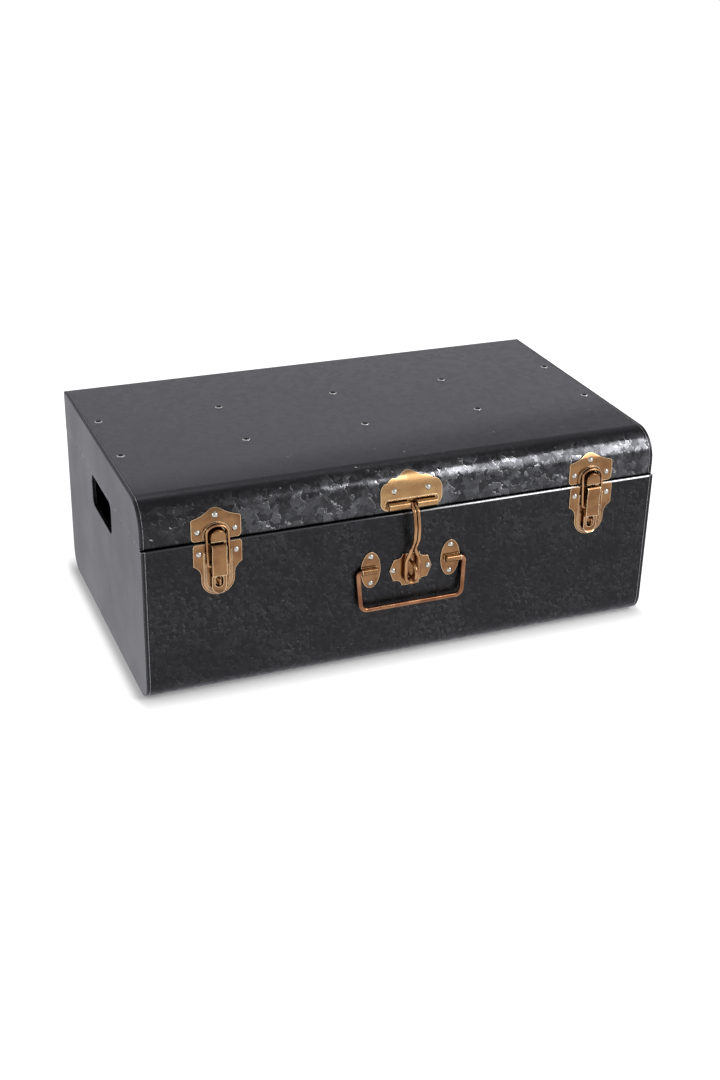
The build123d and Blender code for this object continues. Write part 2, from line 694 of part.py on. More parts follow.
# wire bail: hooked into the lever's sides and arched over the hood
bail_rise = BAIL_TOP_Z - BAIL_PIVOT_Z
bail_back = (BODY_FACE + BAIL_PIVOT_OUT) - (LID_FACE + BAIL_TOP_OUT)
bail_reach = sqrt(bail_rise**2 + bail_back**2)
bail_plane = Plane(
    origin=(0, out(BAIL_PIVOT_OUT), BAIL_PIVOT_Z),
    x_dir=(1, 0, 0),
    z_dir=(0, -bail_rise / bail_reach, bail_back / bail_reach),
)
with BuildPart() as bail:
    hook = 2.0
    end = LEVER_HALF - LEVER_SHEET - 0.8
    corner_x = BAIL_HALF - BAIL_CORNER
    turn = degrees(acos(corner_x / (BAIL_CROWN - BAIL_CORNER)))
    crown_drop = (BAIL_CROWN - BAIL_CORNER) * sin(radians(turn))
    crown_z = bail_reach - BAIL_CROWN
    shoulder = crown_z + crown_drop
    with BuildLine(bail_plane) as bail_path:
        Line((-end, 0), (-BAIL_HALF + hook, 0))
        CenterArc((-BAIL_HALF + hook, hook), hook, 180, 90)
        Line((-BAIL_HALF, hook), (-BAIL_HALF, shoulder))
        CenterArc((-corner_x, shoulder), BAIL_CORNER, 180, -turn)
        CenterArc((0, crown_z), BAIL_CROWN, 180 - turn, 2 * turn - 180)
        CenterArc((corner_x, shoulder), BAIL_CORNER, turn, -turn)
        Line((BAIL_HALF, shoulder), (BAIL_HALF, hook))
        CenterArc((BAIL_HALF - hook, hook), hook, 270, 90)
        Line((BAIL_HALF - hook, 0), (end, 0))
    bail_start = bail_path.wires()[0] @ 0
    with BuildSketch(Plane(origin=bail_start, x_dir=(0, 1, 0), z_dir=(1, 0, 0))):
        Circle(BAIL_WIRE_R)
    sweep(path=bail_path.wires()[0])
save_pair(bail.part, LATCH_X, "latch_bail")

# ---------------------------------------------------------------------------
# Hasp: plate with a rolled barrel on the lid, wire link, staple on the body
# ---------------------------------------------------------------------------


def hasp_half():
    step = (14.5, 199.4)
    step_out = (15.6, 199.9)
    low = (25.0, 196.0)
    low_out = (26.0, 196.3)
    side_top = (HASP_HALF, 187.0)
    side_foot = (HASP_HALF, HASP_BOTTOM + 8)
    Spline((0, HASP_TOP), (7.5, HASP_TOP - 2.2), step, tangents=[(1, 0), (1, -0.3)])
    Line(step, step_out)
    ThreePointArc(step_out, (21.0, 198.9), low)
    Line(low, low_out)
    ThreePointArc(low_out, (31.2, 193.0), side_top)
    Line(side_top, side_foot)
    ThreePointArc(side_foot, (30.4, HASP_BOTTOM + 2.6), (HASP_HALF - 8, HASP_BOTTOM))
    Line((HASP_HALF - 8, HASP_BOTTOM), (0, HASP_BOTTOM))


BARREL_Y = -LID_FACE - BARREL_OUT

with BuildPart() as barrel:
    with BuildSketch(across(BARREL_GAP)):
        with Locations((BARREL_Y, BARREL_Z)):
            Circle(BARREL_R)
    extrude(amount=BARREL_HALF - BARREL_GAP)
    fillet(barrel.edges().filter_by(GeomType.CIRCLE), 0.5)
    with BuildSketch(across(0)):
        with Locations((BARREL_Y, BARREL_Z)):
            Circle(LINK_WIRE_R + 0.1)
    extrude(amount=HASP_HALF, mode=Mode.SUBTRACT)

with BuildPart() as hasp_plate:
    add(lid_plate(HASP_HALF + 2, HASP_BOTTOM - 2, mirrored(hasp_half)))
    # barrel rolled from the plate's foot, with a gap for the link
    add(barrel.part)
    add(mirror(barrel.part, about=Plane.YZ, mode=Mode.PRIVATE))
    # bead along the top of the barrel, turned down past its ends
    bead_end = BARREL_HALF + 1.6
    bead_top = BARREL_Z + 5.4
    with BuildLine(front(LID_FACE + PLATE)) as bead:
        FilletPolyline(
            (-bead_end, BARREL_Z),
            (-bead_end, bead_top),
            (bead_end, bead_top),
            (bead_end, BARREL_Z),
            radius=2.4,
        )
    with BuildSketch(Plane(origin=bead.wires()[0] @ 0, z_dir=(0, 0, 1))):
        Circle(0.9)
    sweep(path=bead.wires()[0])
    for rx, rz in HASP_RIVETS:
        drill(lid_skin(rx, rz), HARDWARE_HOLE)
save(hasp_plate.part, "hasp_plate")
hasp_planes = [lid_skin(x, z).offset(PLATE) for x, z in HASP_RIVETS]
save(rivet_group(hasp_planes, LID_GRIP, HARDWARE_RIVET), "hasp_rivets")

# The link is one wire: pin end, strand down, loop round the staple, strand up, pin end
strand = [
    (BARREL_HALF + 1.2, BARREL_Y, BARREL_Z),
    (LINK_PITCH, BARREL_Y, BARREL_Z),
    (LINK_PITCH, -169.5, 171.0),
    (LINK_PITCH, -174.4, 154.0),
    (LINK_PITCH, -173.4, 140.5),
    (LINK_PITCH, -166.2, 127.5),
    (LINK_LOOP_HALF, LINK_LOOP_Y, 114.0),
    (LINK_LOOP_HALF, LINK_LOOP_Y, LINK_LOOP_BOTTOM),
]
strand_radii = [2.0, 6.0, 26.0, 14.0, 9.0, 10.0, LINK_LOOP_HALF - 0.05]
link_points = [(-x, y, z) for x, y, z in strand] + strand[::-1]
link_radii = strand_radii + strand_radii[::-1]

with BuildPart() as hasp_link:
    with BuildLine() as link_path:
        FilletPolyline(*link_points, radius=link_radii)
    with BuildSketch(
        Plane(origin=link_points[0], x_dir=(0, 1, 0), z_dir=(1, 0, 0))
    ):
        Circle(LINK_WIRE_R)
    sweep(path=link_path.wires()[0])
    fillet(hasp_link.faces().filter_by(Axis.X).edges(), 0.6)
save(hasp_link.part, "hasp_link")


def staple_plate_half():
    z = STAPLE_PLATE_Z
    Line((0, z + 17.0), (9.2, z + 17.0))
    ThreePointArc((9.2, z + 17.0), (11.2, z + 13.4), (14.2, z + 12.2))
    Line((14.2, z + 12.2), (18.6, z + 11.6))
    Line((18.6, z + 11.6), (23.0, z))
    Line((23.0, z), (18.6, z - 12.0))
    Line((18.6, z - 12.0), (14.0, z - 12.4))
    ThreePointArc((14.0, z - 12.4), (11.2, z - 14.0), (9.4, z - 18.0))
    Line((9.4, z - 18.0), (0, z - 18.6))


with BuildPart() as staple_plate:
    with BuildSketch(front(BODY_FACE)):
        add(mirrored(staple_plate_half))
    extrude(amount=PLATE)
    fillet(staple_plate.faces().sort_by(Axis.Y)[0].edges(), PLATE_EDGE)
    for x, z in STAPLE_RIVETS:
        drill(front(BODY_FACE, x, z), HARDWARE_HOLE)
    for z in STAPLE_LEGS:
        drill(front(BODY_FACE, 0, z), STAPLE_WIRE_R + RIVET_SLACK)
save(staple_plate.part, "staple_plate")
staple_planes = [front(BODY_FACE + PLATE, x, z) for x, z in STAPLE_RIVETS]
save(rivet_group(staple_planes, BODY_GRIP, HARDWARE_RIVET), "staple_rivets")

with BuildPart() as staple:
    crown = (STAPLE_LEGS[1] - STAPLE_LEGS[0]) / 2
    inside = -BODY_FACE + SHEET
    bow = out(STAPLE_OUT - STAPLE_WIRE_R - crown)
    with BuildLine() as staple_path:
        Line((0, inside, STAPLE_LEGS[0]), (0, bow, STAPLE_LEGS[0]))
        ThreePointArc(
            (0, bow, STAPLE_LEGS[0]),
            (0, bow - crown, STAPLE_LEGS[0] + crown),
            (0, bow, STAPLE_LEGS[1]),
        )
        Line((0, bow, STAPLE_LEGS[1]), (0, inside, STAPLE_LEGS[1]))
    with BuildSketch(front(-inside, 0, STAPLE_LEGS[0])):
        Circle(STAPLE_WIRE_R)
    sweep(path=staple_path.wires()[0])
    # the legs are clenched over inside the body
    for z in STAPLE_LEGS:
        with BuildSketch(front(-inside, 0, z)):
            Circle(3.0)
        extrude(amount=-1.0)
save(staple.part, "staple")

# ---------------------------------------------------------------------------
# Swing handle: two riveted ears with a pressed half-tube, and a bent rod
# ---------------------------------------------------------------------------


with BuildPart() as ear:
    tube_r = ROD_R + 0.1
    edge_x = EAR_X + EAR_HALF_WIDTH
    with BuildSketch(front(BODY_FACE, EAR_X, EAR_Z)):
        Ellipse(EAR_HALF_WIDTH, EAR_HALF_HEIGHT)
    extrude(amount=PLATE)
    fillet(ear.faces().sort_by(Axis.Y)[0].edges(), PLATE_EDGE)
    with BuildSketch(across(TUBE_INNER_X)):
        with Locations((out(ROD_OUT), EAR_Z)):
            Circle(tube_r + TUBE_WALL)
        with Locations((out(ROD_OUT / 2 + 0.2), EAR_Z)):
            Rectangle(ROD_OUT - 0.4, 2 * (tube_r + TUBE_WALL))
        with Locations((out(-5.0), EAR_Z)):
            Rectangle(10.0, 10.0, mode=Mode.SUBTRACT)
    extrude(amount=edge_x - TUBE_INNER_X)
    closed_end = ear.faces().filter_by(
        lambda f: abs(f.center().X - TUBE_INNER_X) < 0.01
    )
    fillet(closed_end.edges().filter_by(GeomType.CIRCLE), 1.6)
    with BuildSketch(across(TUBE_INNER_X + 1.4)):
        with Locations((out(ROD_OUT), EAR_Z)):
            Circle(tube_r)
        with Locations((out(ROD_OUT / 2 - 1), EAR_Z)):
            Rectangle(ROD_OUT + 2, 2 * tube_r)
    extrude(amount=edge_x - TUBE_INNER_X, mode=Mode.SUBTRACT)
    for e in (-1, 1):
        drill(front(BODY_FACE, EAR_X, EAR_Z + e * EAR_RIVET), HARDWARE_HOLE)
save(ear.part, "handle_ear_right")
save(mirror(ear.part, about=Plane.YZ), "handle_ear_left")
ear_planes = [front(BODY_FACE + PLATE, x, z) for x, z in ear_spots]
save(rivet_group(ear_planes, BODY_GRIP, HARDWARE_RIVET), "handle_ear_rivets")

handle_plane = Plane(
    origin=(0, out(ROD_OUT), EAR_Z),
    x_dir=(1, 0, 0),
    z_dir=(0, -cos(radians(HANDLE_LEAN)), sin(radians(HANDLE_LEAN))),
)
with BuildPart() as handle:
    with BuildLine(handle_plane) as handle_path:
        FilletPolyline(
            (-(TUBE_INNER_X + 2.4), 0),
            (-HANDLE_TOP_HALF, 0),
            (-HANDLE_FOOT_HALF, -HANDLE_DROP),
            (HANDLE_FOOT_HALF, -HANDLE_DROP),
            (HANDLE_TOP_HALF, 0),
            (TUBE_INNER_X + 2.4, 0),
            radius=[3.8, 7.5, 7.5, 3.8],
        )
    handle_start = handle_path.wires()[0] @ 0
    with BuildSketch(Plane(origin=handle_start, x_dir=(0, 1, 0), z_dir=(-1, 0, 0))):
        Circle(ROD_R)
    sweep(path=handle_path.wires()[0])
save(handle.part, "handle")

# ---------------------------------------------------------------------------
# Hinges: a body leaf with two knuckles, a lid leaf with one, and a pin
# ---------------------------------------------------------------------------


def hinge_body_leaf(x):
    with BuildPart() as leaf:
        with BuildSketch(front(-BODY_FACE, x)):
            with Locations((0, HINGE_Z - 3.5 - HINGE_LEAF_REACH / 2)):
                RectangleRounded(HINGE_WIDTH, HINGE_LEAF_REACH, 3)
        extrude(amount=-HINGE_LEAF)
        for side in (-1, 1):
            near = side * (KNUCKLE_LENGTH / 2 + 0.3)
            with BuildSketch(across(x + near)):
                with BuildLine():
                    Polyline(
                        (BODY_FACE, HINGE_Z - 6),
                        (BODY_FACE + HINGE_LEAF, HINGE_Z - 8.5),
                        (HINGE_Y + 1.0, HINGE_Z - 2.6),
                        (HINGE_Y - 1.6, HINGE_Z - 1.6),
                        close=True,
                    )
                make_face()
                with Locations((HINGE_Y, HINGE_Z)):
                    Circle(KNUCKLE_R)
                    Circle(HINGE_PIN_R, mode=Mode.SUBTRACT)
            extrude(amount=side * KNUCKLE_LENGTH)
        for s in (-1, 1):
            spot = x + s * HINGE_RIVET["x"]
            drill(front(-BODY_FACE, spot, HINGE_BODY_RIVET_Z), HARDWARE_HOLE)
    return leaf.part


def hinge_lid_leaf(x):
    clear = KNUCKLE_R + 0.4
    with BuildPart() as leaf:
        with BuildSketch(front(-LID_BACK, x)):
            with Locations((0, HINGE_Z + clear + HINGE_LEAF_REACH / 2)):
                RectangleRounded(HINGE_WIDTH, HINGE_LEAF_REACH, 3)
            with Locations((0, HINGE_Z + clear)):
                Rectangle(KNUCKLE_LENGTH, 2 * clear)
        extrude(amount=-HINGE_LEAF)
        with BuildSketch(across(x - KNUCKLE_LENGTH / 2)):
            with Locations((HINGE_Y, HINGE_Z)):
                Circle(KNUCKLE_R)
                # the rolled end stands out as a stop that meets the body leaf
                with Locations(Location((0, 0), STOP_ANGLE)):
                    Rectangle(STOP_TAB, 1.2, align=(Align.MIN, Align.CENTER))
        extrude(amount=KNUCKLE_LENGTH)
        with BuildSketch(across(x - KNUCKLE_LENGTH / 2)):
            with Locations((HINGE_Y, HINGE_Z)):
                Circle(HINGE_PIN_R + RUNNING)
        extrude(amount=KNUCKLE_LENGTH, mode=Mode.SUBTRACT)
        # nothing of the leaf below the lid's own edge but the knuckle
        with BuildSketch(across(x - HINGE_WIDTH)):
            with Locations((LID_BACK - 2, HINGE_Z - 5)):
                Rectangle(4.2, 10)
        extrude(amount=2 * HINGE_WIDTH, mode=Mode.SUBTRACT)
        for s in (-1, 1):
            spot = x + s * HINGE_RIVET["x"]
            drill(front(-LID_BACK, spot, HINGE_LID_RIVET_Z), HARDWARE_HOLE)
    return leaf.part


def hinge_pin(x):
    reach = 1.5 * KNUCKLE_LENGTH + 0.3
    with BuildPart() as pin:
        with BuildSketch(across(x)):
            with Locations((HINGE_Y, HINGE_Z)):
                Circle(HINGE_PIN_R)
        extrude(amount=reach, both=True)
        for side in (-1, 1):
            with BuildSketch(across(x + side * reach)):
                with Locations((HINGE_Y, HINGE_Z)):
                    Circle(HINGE_PIN_R + 0.5)
            extrude(amount=side * 0.7)
    return pin.part


for name, x in HINGE_X.items():
    save(hinge_body_leaf(x), f"hinge_body_leaf_{name}")
    save(hinge_lid_leaf(x), f"hinge_lid_leaf_{name}")
    save(hinge_pin(x), f"hinge_pin_{name}")


def back_plane(x, y, z):
    """A plane on the back that faces backward."""
    return Plane(origin=(x, y, z), x_dir=(-1, 0, 0), z_dir=(0, 1, 0))


hinge_grip = HINGE_LEAF + SHEET
body_side = [
    back_plane(x, BODY_FACE + HINGE_LEAF, HINGE_BODY_RIVET_Z) for x in hinge_spots
]
lid_side = [
    back_plane(x, LID_BACK + HINGE_LEAF, HINGE_LID_RIVET_Z) for x in hinge_spots
]
save(rivet_group(body_side, hinge_grip, HARDWARE_RIVET), "hinge_body_rivets")
save(rivet_group(lid_side, hinge_grip, HARDWARE_RIVET), "hinge_lid_rivets")
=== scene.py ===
from math import radians

import bpy
from mathutils import Matrix, Vector


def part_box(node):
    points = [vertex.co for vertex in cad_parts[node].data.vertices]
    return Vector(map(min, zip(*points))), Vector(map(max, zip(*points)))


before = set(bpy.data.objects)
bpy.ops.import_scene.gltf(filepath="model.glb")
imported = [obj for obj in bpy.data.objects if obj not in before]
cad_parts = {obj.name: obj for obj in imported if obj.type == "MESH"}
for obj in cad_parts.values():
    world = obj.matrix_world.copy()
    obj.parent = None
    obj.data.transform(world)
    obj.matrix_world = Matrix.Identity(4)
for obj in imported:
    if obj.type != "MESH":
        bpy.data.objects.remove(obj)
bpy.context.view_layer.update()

# ---------------------------------------------------------------------------
# The trunk's body. One sheet of black-tinted galvanised steel makes the front,
# underside and back. It is bent round at the two long bottom edges, and its front
# edge is folded over into a ledge that hands have rubbed down to the zinc. A painted
# highlight makes the ledge brighter towards the right.
# ---------------------------------------------------------------------------
BODY_TONE = (0.0265, 0.0263, 0.0285)
BODY_FLAKE_TONE = (0.052, 0.051, 0.055)
# painted highlight on one side of each flake's outline, also the pale specks' tone
BODY_HIGHLIGHT_AND_SPECK_TONE = (0.088, 0.087, 0.093)
BODY_FLAKES_PER_METRE = 250.0
BODY_ROUGHNESS = (0.34, 0.46)
FLAKE_EDGE = (0.0005, 0.0, 0.0005)
PATCHES_PER_METRE = 18.0
SPECKS_PER_METRE = 100.0
PINHOLES_PER_METRE = 900.0
GRAIN_PER_METRE = 1400.0
# dark of the pinholes, and of the painted shade in corners and on flake outlines
PINHOLE_AND_SHADE_TONE = (0.006, 0.006, 0.007)
PAINTED_SHADE_REACH = 0.005
RUBBED_ROUGHNESS = 0.16
SHEET_EDGE_TINT = (0.94, 0.94, 0.985, 1.0)
INSIDE_TONE = (0.080, 0.079, 0.080)
TRUNK_MIDDLE = (0.0, 0.0, 0.105)
RIM_HEIGHT = 0.1656
RIM_FOLD = 0.0016
# the ledge runs from dull at the left to bright at the right: worn zinc and a painted
# highlight
RIM_DULL = (0.060, 0.060, 0.066)
RIM_ZINC_AND_HIGHLIGHT = (0.80, 0.80, 0.81)
RIM_HIGHLIGHT_X = (-0.06, 0.12)


class Finish:
    """A material under construction: its nodes, and the wires between them."""

    def __init__(self, name):
        self.material = bpy.data.materials.new(name)
        self.material.use_nodes = True
        self.tree = self.material.node_tree
        self.shader = self.tree.nodes["Principled BSDF"]
        position = self.add("ShaderNodeTexCoord").outputs
        self.place, self.facing = position["Object"], position["Normal"]

    def add(self, kind, **settings):
        node = self.tree.nodes.new(kind)
        for key, value in settings.items():
            setattr(node, key, value)
        return node

    def wire(self, source, socket):
        if hasattr(source, "links"):
            self.tree.links.new(source, socket)
        else:
            socket.default_value = source

    def set(self, **values):
        """Set the shader's own sockets, by name with underscores for spaces."""
        for key, value in values.items():
            self.wire(value, self.shader.inputs[key.replace("_", " ")])

    def math(self, operation, first, second=0.0, third=0.0):
        """Do a sum with up to three numbers or wires."""
        node = self.add("ShaderNodeMath", operation=operation)
        for socket, value in zip(node.inputs, (first, second, third)):
            self.wire(value, socket)
        return node.outputs[0]

    def vector(self, operation, first, second=(0, 0, 0), scale=None):
        node = self.add("ShaderNodeVectorMath", operation=operation)
        self.wire(first, node.inputs[0])
        self.wire(second, node.inputs[1])
        if scale is not None:
            self.wire(scale, node.inputs["Scale"])
        return node.outputs["Value" if operation == "DOT_PRODUCT" else "Vector"]

    def noise(self, scale, detail=3.0, rough=0.55, at=None, out="Fac"):
        node = self.add("ShaderNodeTexNoise")
        self.wire(at or self.place, node.inputs["Vector"])
        node.inputs["Scale"].default_value = scale
        node.inputs["Detail"].default_value = detail
        node.inputs["Roughness"].default_value = rough
        return node.outputs[out]

    def flakes(self, scale, at, out="Color"):
        node = self.add("ShaderNodeTexVoronoi")
        self.wire(at, node.inputs["Vector"])
        node.inputs["Scale"].default_value = scale
        return node.outputs[out]

    def span(self, value, low, high, to_low=0.0, to_high=1.0):
        """Map a value from one span to another, smoothly and clamped."""
        node = self.add("ShaderNodeMapRange", interpolation_type="SMOOTHSTEP")
        for socket, number in zip(node.inputs, (value, low, high, to_low, to_high)):
            self.wire(number, socket)
        return node.outputs[0]

    def blend(self, amount, first, second):
        """Mix two colours."""
        node = self.add("ShaderNodeMix", data_type="RGBA")
        self.wire(amount, node.inputs["Factor"])
        for socket, colour in ((node.inputs["A"], first), (node.inputs["B"], second)):
            self.wire(colour if hasattr(colour, "links") else (*colour, 1.0), socket)
        return node.outputs["Result"]

    def bump(self, height, strength, distance, normal=None):
        node = self.add("ShaderNodeBump")
        node.inputs["Strength"].default_value = strength
        node.inputs["Distance"].default_value = distance
        self.wire(height, node.inputs["Height"])
        if normal is not None:
            self.wire(normal, node.inputs["Normal"])
        return node.outputs["Normal"]

    def channel(self, colour, index):
        node = self.add("ShaderNodeSeparateColor")
        self.wire(colour, node.inputs[0])
        return node.outputs[index]

    def axis(self, index):
        node = self.add("ShaderNodeSeparateXYZ")
        self.wire(self.place, node.inputs[0])
        return node.outputs[index]

    def recess(self, distance):
        """1 in corners and beside things that stand proud, 0 in the open."""
        node = self.add("ShaderNodeAmbientOcclusion", samples=8)
        node.inputs["Distance"].default_value = distance
        return self.span(node.outputs["AO"], 0.94, 0.48)

    def inside(self):
        """1 on faces turned towards the middle of the trunk, 0 on outer faces."""
        outward = self.vector("SUBTRACT", self.place, TRUNK_MIDDLE)
        turned_out = self.vector("DOT_PRODUCT", outward, self.facing)
        return self.span(turned_out, -0.03, -0.06)

    def edge_mask(self, radius):
        """1 on sharp edges, 0 on flats, from how far a rounded normal turns away."""
        round_normal = self.add("ShaderNodeBevel", samples=10)
        round_normal.inputs["Radius"].default_value = radius
        flat_normal = self.add("ShaderNodeNewGeometry").outputs["Normal"]
        agree = self.vector("DOT_PRODUCT", round_normal.outputs[0], flat_normal)
        return self.span(agree, 0.999, 0.95)


def dress(material, *nodes):
    """Give CAD nodes this material."""
    for name in nodes:
        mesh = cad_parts[name].data
        mesh.materials.clear()
        mesh.materials.append(material)


def galvanised(name, tones, per_metre, roughness, tilted, show):
    """Zinc-coated sheet under a black tint. Its crystal flakes differ a little in
    sheen, gloss and tilt. Each has a painted highlight along one side of its outline
    and painted shade along the other."""
    tone, flake_tone, highlight_and_speck_tone = tones
    finish = Finish(name)
    sway = finish.noise(per_metre * 0.8, detail=2.5, rough=0.65, out="Color")
    sway = finish.vector("SUBTRACT", sway, (0.5, 0.5, 0.5))
    sway = finish.vector("SCALE", sway, scale=1.7 / per_metre)
    jagged = finish.vector("ADD", finish.place, sway)
    flake = finish.flakes(per_metre, jagged)
    crumb = finish.flakes(per_metre * 2.3, jagged)
    beside = finish.flakes(per_metre, finish.vector("ADD", jagged, FLAKE_EDGE))
    patch = finish.noise(PATCHES_PER_METRE, detail=4.0, rough=0.6)
    # how strongly the flakes show; on the lid this is a painted reflection
    strength = show(finish)
    shown = finish.math("MULTIPLY", strength, finish.span(patch, 0.35, 0.65, 0.35, 1.0))
    # sheen of each flake, large and small
    sheen = finish.span(finish.channel(flake, 0), 0.2, 1.0, 0.16, 0.75)
    small_sheen = finish.span(finish.channel(crumb, 1), 0.5, 1.0, 0.0, 0.3)
    sheen = finish.math("ADD", sheen, small_sheen)
    colour = finish.blend(finish.math("MULTIPLY", sheen, shown), tone, flake_tone)
    # a painted highlight on one side of each outline, painted shade on the other
    step = finish.math("SUBTRACT", finish.channel(flake, 0), finish.channel(beside, 0))
    painted_highlight_side = finish.math("MULTIPLY", finish.span(step, 0.2, 0.6), shown)
    painted_shade_side = finish.math("MULTIPLY", finish.span(step, -0.25, -0.7, 0.0, 0.7), shown)
    colour = finish.blend(painted_highlight_side, colour, highlight_and_speck_tone)
    colour = finish.blend(painted_shade_side, colour, PINHOLE_AND_SHADE_TONE)
    # pinholes and bright specks in the tint
    long_dots = finish.vector("MULTIPLY", jagged, (0.45, 1.0, 1.0))
    dot = finish.flakes(SPECKS_PER_METRE, long_dots, "Distance")
    dot = finish.span(dot, 0.06, 0.12, 0.75, 0.0)
    here = finish.span(finish.noise(60.0, detail=2.0), 0.5, 0.62)
    colour = finish.blend(finish.math("MULTIPLY", dot, here), colour, highlight_and_speck_tone)
    pit = finish.noise(PINHOLES_PER_METRE, detail=2.0, rough=0.6)
    colour = finish.blend(finish.span(pit, 0.62, 0.72, 0.0, 0.5), colour, PINHOLE_AND_SHADE_TONE)
    # painted shade: darker in corners and beside the fittings that stand proud
    painted_shade = finish.math("MULTIPLY", finish.recess(PAINTED_SHADE_REACH), 0.8)
    colour = finish.blend(painted_shade, colour, PINHOLE_AND_SHADE_TONE)
    # the tint is plain and dull inside
    inner = finish.inside()
    colour = finish.blend(inner, colour, INSIDE_TONE)
    # gloss and tilt
    low, high = roughness
    tilt = finish.vector("SUBTRACT", flake, (0.5, 0.5, 0.5))
    amount = finish.math("MULTIPLY", shown, tilted)
    tilt = finish.vector("SCALE", tilt, scale=amount)
    normal = finish.add("ShaderNodeNewGeometry").outputs["Normal"]
    normal = finish.vector("NORMALIZE", finish.vector("ADD", normal, tilt))
    dents = finish.noise(5.0, detail=1.0, rough=0.4)
    grain = finish.noise(GRAIN_PER_METRE, detail=3.0, rough=0.65)
    relief = finish.math("ADD", finish.math("MULTIPLY", dents, 6.0), grain)
    rough = finish.span(finish.channel(flake, 2), 0.0, 1.0, low, high)
    dulled = finish.math("SUBTRACT", 1.0, strength)
    dulled = finish.math("MULTIPLY", dulled, RUBBED_ROUGHNESS)
    finish.set(
        Base_Color=colour,
        Metallic=finish.math("SUBTRACT", 1.0, inner),
        Specular_Tint=SHEET_EDGE_TINT,
        Roughness=finish.math("ADD", rough, dulled),
        Normal=finish.bump(relief, 0.08, 0.0004, normal),
    )
    return finish, colour


def everywhere(_):
    """The body's spangle is equally strong all over."""
    return 1.0


FRONT_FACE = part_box("body_wrapper")[0].y

body_finish, body_colour = galvanised(
    "black_zinc_body",
    (BODY_TONE, BODY_FLAKE_TONE, BODY_HIGHLIGHT_AND_SPECK_TONE),
    BODY_FLAKES_PER_METRE,
    BODY_ROUGHNESS,
    tilted=0.03,
    show=everywhere,
)
on_fold = body_finish.span(
    body_finish.axis(2), RIM_HEIGHT - RIM_FOLD, RIM_HEIGHT - 0.8 * RIM_FOLD
)
at_front = body_finish.span(
    body_finish.axis(1), FRONT_FACE + RIM_FOLD, FRONT_FACE + 0.8 * RIM_FOLD
)
# the ledge: worn zinc, with a painted highlight that brightens it towards the right
rim_zinc_and_highlight = body_finish.blend(
    body_finish.span(body_finish.axis(0), *RIM_HIGHLIGHT_X), RIM_DULL, RIM_ZINC_AND_HIGHLIGHT
)
on_rim = body_finish.math("MULTIPLY", on_fold, at_front)
body_finish.set(Base_Color=body_finish.blend(on_rim, body_colour, rim_zinc_and_highlight))
dress(body_finish.material, "body_wrapper")

# ---------------------------------------------------------------------------
# The ends of body and lid. Each is a shallow pan of thinner sheet, drawn smooth,
# whose flange is lapped over the wrapper. The rolling left faint upright streaks.
# ---------------------------------------------------------------------------
END_TONE = (0.020, 0.0205, 0.0225)
END_STREAK_TONE = (0.031, 0.0315, 0.0350)
END_EDGE_WEAR_AND_HIGHLIGHT = (0.50, 0.50, 0.52)
FLANGE_TONE = (0.034, 0.034, 0.037)
END_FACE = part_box("body_end_right")[1].x
FLANGE_STEP = (0.0006, 0.0010)    # how far in from the face the flange begins
END_ROUGHNESS = (0.32, 0.38)
END_EDGE_RADIUS = 0.0012


def end_sheet(name):
    """The same tinted sheet without spangle, streaked upright, and pale on its folds from wear
    and a painted highlight.
    """
    finish = Finish(name)
    stretch = finish.vector("MULTIPLY", finish.place, (1.0, 1.0, 0.06))
    streak = finish.noise(160.0, detail=5.0, rough=0.6, at=stretch)
    cloud = finish.noise(11.0, detail=4.0, rough=0.55)
    speck = finish.noise(700.0, detail=2.0)
    amount = finish.math("MULTIPLY", finish.span(streak, 0.35, 0.75), 0.6)
    amount = finish.math("ADD", amount, finish.span(cloud, 0.3, 0.75, 0.0, 0.35))
    colour = finish.blend(amount, END_TONE, END_STREAK_TONE)
    across = finish.math("ABSOLUTE", finish.axis(0))
    flange = finish.span(across, *(END_FACE - step for step in FLANGE_STEP))
    colour = finish.blend(flange, colour, FLANGE_TONE)
    # the folds: rubbed zinc, with a painted highlight along them
    chafed_and_highlight = finish.span(speck, 0.35, 0.6, 0.35, 0.95)
    chafed_and_highlight = finish.math("MULTIPLY", finish.edge_mask(END_EDGE_RADIUS), chafed_and_highlight)
    inner = finish.inside()
    colour = finish.blend(inner, colour, INSIDE_TONE)
    colour = finish.blend(chafed_and_highlight, colour, END_EDGE_WEAR_AND_HIGHLIGHT)
    rough = finish.span(cloud, 0.3, 0.7, *END_ROUGHNESS)
    relief = finish.math("ADD", finish.noise(6.0, detail=1.0), speck)
    finish.set(
        Base_Color=colour,
        Metallic=finish.math("SUBTRACT", 1.0, inner),
        Specular_Tint=SHEET_EDGE_TINT,
        Roughness=rough,
        Normal=finish.bump(relief, 0.06, 0.0004),
    )
    return finish.material


end_material = end_sheet("black_zinc_ends")
dress(end_material, "body_end_left", "body_end_right", "lid_end_left", "lid_end_right")

# ---------------------------------------------------------------------------
# The lid. One galvanised sheet with a large bright spangle is rolled over at the
# front and folded down at the back. Its top is rougher. The spangle's sheen is a
# painted reflection: strong low on the front and at the right, faint on the top and
# at the left. The top also turns paler further back.
# ---------------------------------------------------------------------------
LID_TONE = (0.027, 0.027, 0.030)
LID_FLAKE_TONE = (0.215, 0.217, 0.234)
# painted highlight on one side of each flake's outline, also the pale specks' tone
LID_HIGHLIGHT_AND_SPECK_TONE = (0.60, 0.60, 0.62)
LID_TOP_BACK_TONE = (0.088, 0.088, 0.097)
LID_FLAKES_PER_METRE = 150.0
LID_ROUGHNESS = (0.11, 0.19)
LID_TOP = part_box("lid_wrapper")[1].z
# where the spangle's painted reflection fades, down the lid and across it
SPANGLE_FADES = (0.008, 0.0007)   # from here to here below the top
SPANGLE_FADES_X = (-0.29, 0.04)
SPANGLE_AT_LEFT = 0.22
TOP_SKIN = (0.004, 0.001)
PALER_FROM = (0.03, 0.11)        # how far behind the front the palest part of the top begins
PALER_SLANT = -0.1
SCUFFS_PER_METRE = 55.0


